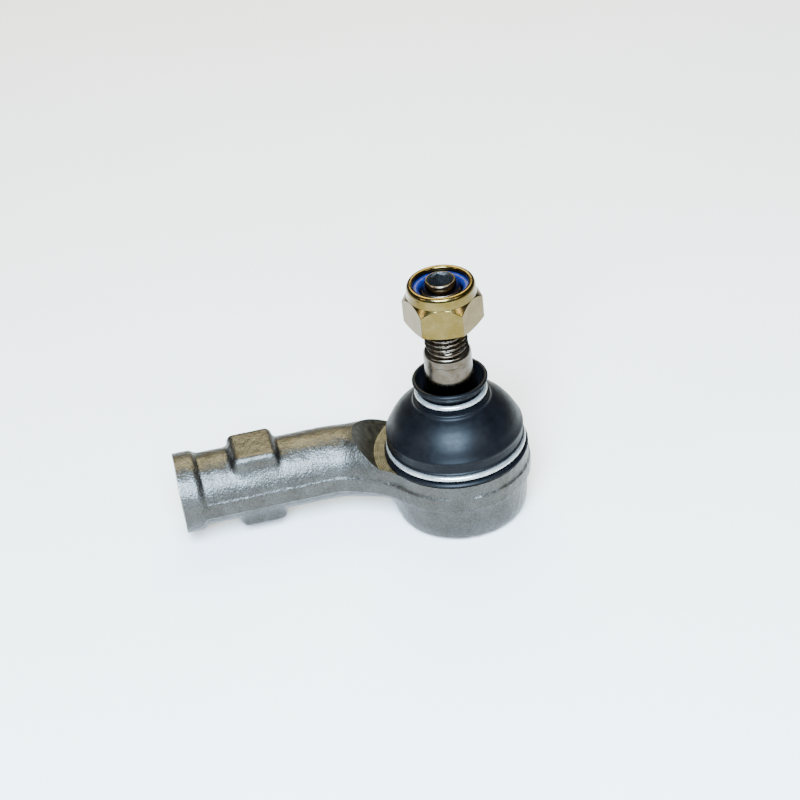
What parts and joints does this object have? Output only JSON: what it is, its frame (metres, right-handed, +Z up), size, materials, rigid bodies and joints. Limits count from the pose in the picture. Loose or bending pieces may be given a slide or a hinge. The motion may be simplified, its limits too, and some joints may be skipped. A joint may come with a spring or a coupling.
{
  "type": "tie rod end",
  "caption": "Outer steering tie rod end: cranked forged housing with internal thread, ball stud with taper and thread, rubber boot, retaining rings and self-locking nut.",
  "frame": {"origin": "centre of the ball housing's underside, on the ball stud's axis", "axes": "+Z up along the ball stud, -X along the threaded shank towards the tie rod, +Y the side that the neck cranks to"},
  "size_m": [0.0985, 0.0431, 0.0752],
  "materials": {
    "forged_steel": "shot-blasted grey forging with a light oil film",
    "polished_steel": "ground and rolled bright steel",
    "spring_steel": "satin",
    "cover_steel": "pressed sheet, satin",
    "ring_steel": "satin off-white coating",
    "zinc_plate": "yellow passivated zinc, bright",
    "acetal": "moulded, satin",
    "boot_rubber": "moulded chloroprene, satin sheen",
    "blue_nylon": "turned, semi-gloss"
  },
  "bodies": {
    "housing": {"housing": "forged_steel", "upper_bearing_shell": "acetal", "lower_bearing_shell": "acetal", "preload_spring": "spring_steel", "cover_plate": "cover_steel", "boot_ring_lower": "ring_steel"},
    "stud_tilt": {"boot": "boot_rubber"},
    "stud_sway": {"boot_ring_upper": "ring_steel"},
    "stud": {"ball_stud": "polished_steel"},
    "nut_carrier": {"nut_insert": "blue_nylon"},
    "nut": {"nut": "zinc_plate"}
  },
  "joints": [
    {"name": "ball_tilt", "type": "hinge", "parent": "housing", "child": "stud_tilt", "pos_m": [0, 0, 0.014], "axis": [0, 1, 0], "range_deg": [-20, 20], "deforming": ["boot"]},
    {"name": "ball_sway", "type": "hinge", "parent": "stud_tilt", "child": "stud_sway", "pos_m": [0, 0, 0.014], "axis": [1, 0, 0], "range_deg": [-20, 20], "deforming": ["boot"]},
    {"name": "stud_spin", "type": "hinge", "parent": "stud_sway", "child": "stud", "pos_m": [0, 0, 0.014], "axis": [0, 0, 1], "continuous": true},
    {"name": "nut_travel", "type": "slide", "parent": "stud", "child": "nut_carrier", "axis": [0, 0, 1], "range_m": [-0.0045, 0.0135]},
    {"name": "nut_turn", "type": "hinge", "parent": "nut_carrier", "child": "nut", "pos_m": [0, 0, 0.062], "axis": [0, 0, 1], "range_deg": [-1080, 3240]}
  ],
  "couplings": [
    {"joint": "nut_travel", "follows": "nut_turn", "m_per_rad": 0.00023873}
  ]
}
